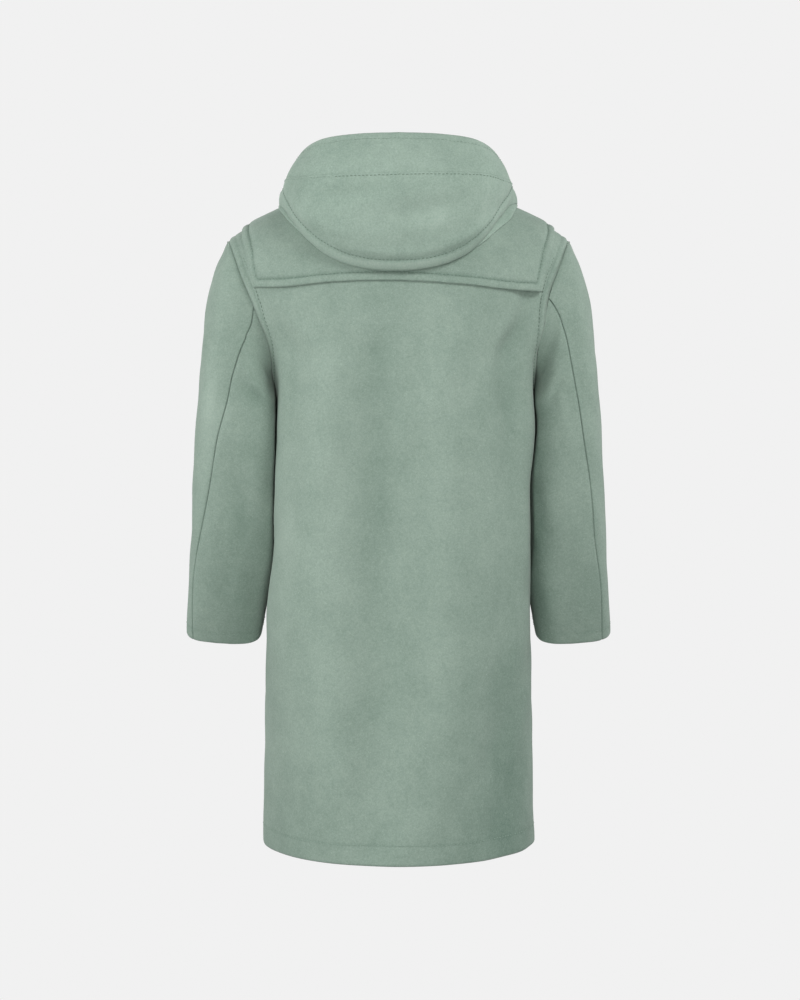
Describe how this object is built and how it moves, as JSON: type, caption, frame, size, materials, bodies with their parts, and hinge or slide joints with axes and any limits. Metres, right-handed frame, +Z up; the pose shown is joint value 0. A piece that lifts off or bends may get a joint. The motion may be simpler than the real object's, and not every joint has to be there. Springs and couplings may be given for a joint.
{
  "type": "duffle coat",
  "caption": "Straight knee-length hooded wool coat with patch pockets and toggle fastening, hood lying down, held open as if worn.",
  "frame": {"origin": "midway between the two side neck points, where a neck and shoulders hold the coat up", "axes": "+Z up, the front faces -Y, the wearer's left is +X"},
  "size_m": [0.6458, 0.3634, 1.0288],
  "materials": {
    "wool": "milled melton, soft nap",
    "leather": "smooth dull leather",
    "wood": "turned and oiled",
    "cord": "braided cord"
  },
  "bodies": {
    "root": {"back": "wool", "front_left": "wool", "front_right": "wool", "yoke": "wool", "sleeve_top_left": "wool", "sleeve_under_left": "wool", "sleeve_top_right": "wool", "sleeve_under_right": "wool", "hood_under": "wool", "hood_crown": "wool", "hood_upper": "wool", "pocket_left": "wool", "pocket_right": "wool", "loop_patch_1": "leather", "strap_patch_1": "leather", "toggle_strap_1": "leather", "toggle_loop_1": "cord", "toggle_1": "wood", "loop_patch_2": "leather", "strap_patch_2": "leather", "toggle_strap_2": "leather", "toggle_loop_2": "cord", "toggle_2": "wood", "loop_patch_3": "leather", "strap_patch_3": "leather", "toggle_strap_3": "leather", "toggle_loop_3": "cord", "toggle_3": "wood", "loop_patch_4": "leather", "strap_patch_4": "leather", "toggle_strap_4": "leather", "toggle_loop_4": "cord", "toggle_4": "wood"}
  },
  "joints": []
}
